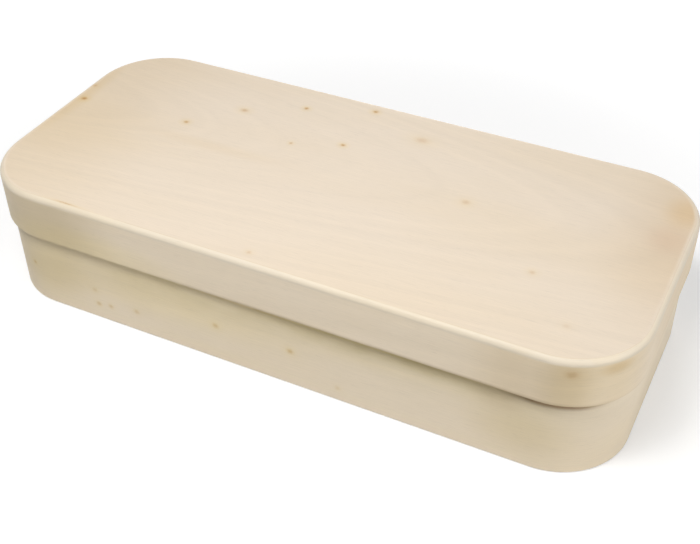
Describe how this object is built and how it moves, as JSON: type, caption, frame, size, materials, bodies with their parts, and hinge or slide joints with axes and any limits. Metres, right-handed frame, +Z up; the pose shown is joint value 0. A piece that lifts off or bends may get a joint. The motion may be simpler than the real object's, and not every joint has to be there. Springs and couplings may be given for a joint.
{
  "type": "bentwood box with lift-off lid",
  "caption": "Low rectangular box of pale bent wood with round corners, a flat inset base and a flat lid that slips over the outside of the body and lifts off.",
  "frame": {"origin": "middle of the underside, on the surface that the box stands on", "axes": "+X along the length, +Y across the width towards the lapped ends of the bands, +Z up, the way the lid lifts"},
  "size_m": [0.25, 0.112, 0.0515],
  "materials": {
    "base_board": "bare, sanded, pale wood",
    "body_band": "bare, sanded, pale wood with small brown knots",
    "lid_board": "bare, sanded, pale wood with small brown knots",
    "lid_band": "bare, sanded, pale wood"
  },
  "bodies": {
    "body": {"base_board": "base_board", "body_band": "body_band"},
    "lid": {"lid_board": "lid_board", "lid_band": "lid_band"}
  },
  "joints": [
    {"name": "lid_lift", "type": "slide", "parent": "body", "child": "lid", "axis": [0, 0, 1], "range_m": [0, 0.08]}
  ]
}
